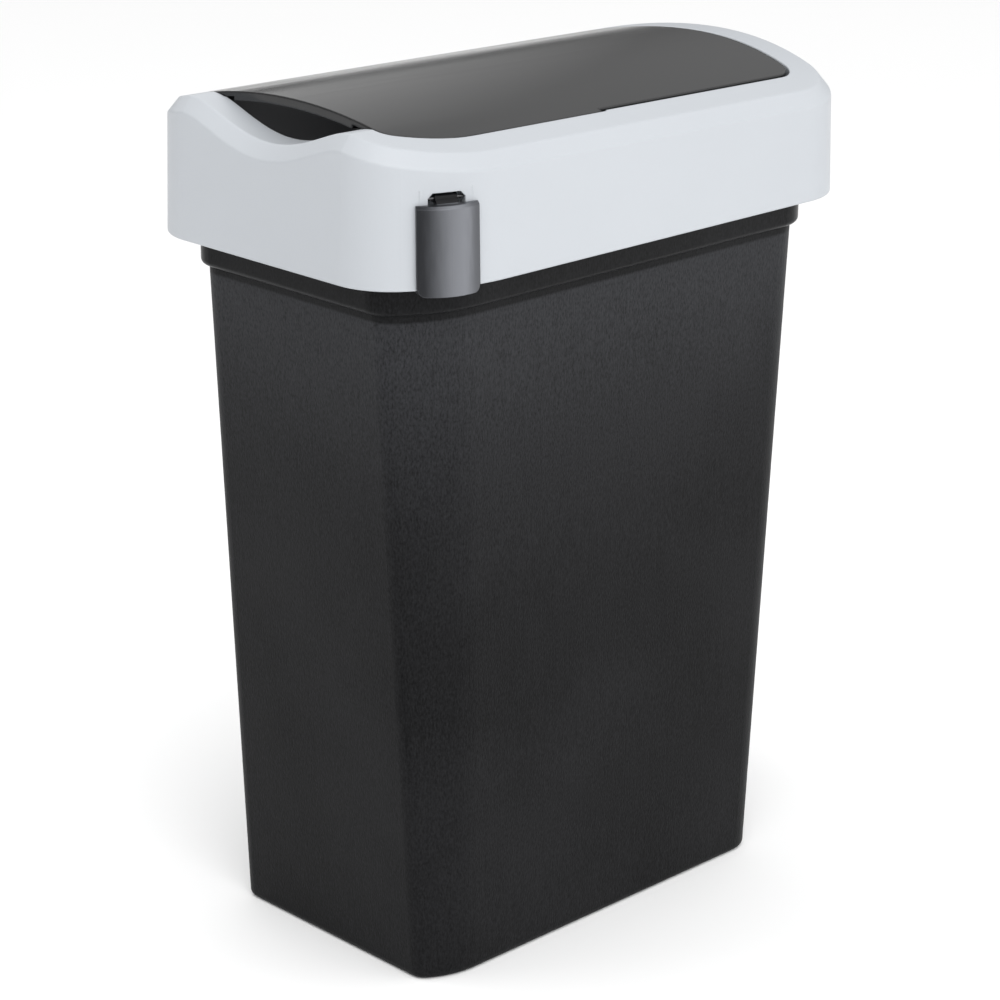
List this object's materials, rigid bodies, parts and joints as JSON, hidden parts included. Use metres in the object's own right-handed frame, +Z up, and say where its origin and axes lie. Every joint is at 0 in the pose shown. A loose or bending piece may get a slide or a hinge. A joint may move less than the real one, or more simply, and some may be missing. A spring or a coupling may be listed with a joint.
{
  "type": "kitchen bin with swinging lid",
  "caption": "Tall tapered kitchen waste bin with a lift-off rim frame, a crowned swinging lid with a finger scoop, and a hinged clip on one front corner.",
  "frame": {"origin": "middle of the base, on the floor", "axes": "+Z up, the front with the finger scoop faces -Y, +X to the right of someone who stands in front of the bin and faces it"},
  "size_m": [0.2229, 0.3644, 0.4891],
  "materials": {
    "body_plastic": "fine satin grain",
    "rim_plastic": "satin",
    "lid_plastic": "gloss",
    "clip_plastic": "satin metallic",
    "pin_plastic": "satin",
    "pin_steel": "drawn wire"
  },
  "bodies": {
    "body": {"bin_body": "body_plastic"},
    "rim": {"rim_frame": "rim_plastic", "clip_pin": "pin_steel"},
    "lid": {"lid": "lid_plastic", "pivot_pin_right": "pin_plastic", "pivot_pin_left": "pin_plastic"},
    "clip": {"corner_clip": "clip_plastic"}
  },
  "joints": [
    {"name": "rim_lift", "type": "slide", "parent": "body", "child": "rim", "axis": [0, 0, 1], "range_m": [0, 0.1]},
    {"name": "lid_swing", "type": "hinge", "parent": "rim", "child": "lid", "pos_m": [0, -0.00625, 0.4643], "axis": [-1, 0, 0], "range_deg": [0, 60]},
    {"name": "clip_swing", "type": "hinge", "parent": "rim", "child": "clip", "pos_m": [0.09944, -0.1435, 0.4524], "axis": [-0.3551, -0.9348, 0], "range_deg": [0, 40]}
  ]
}
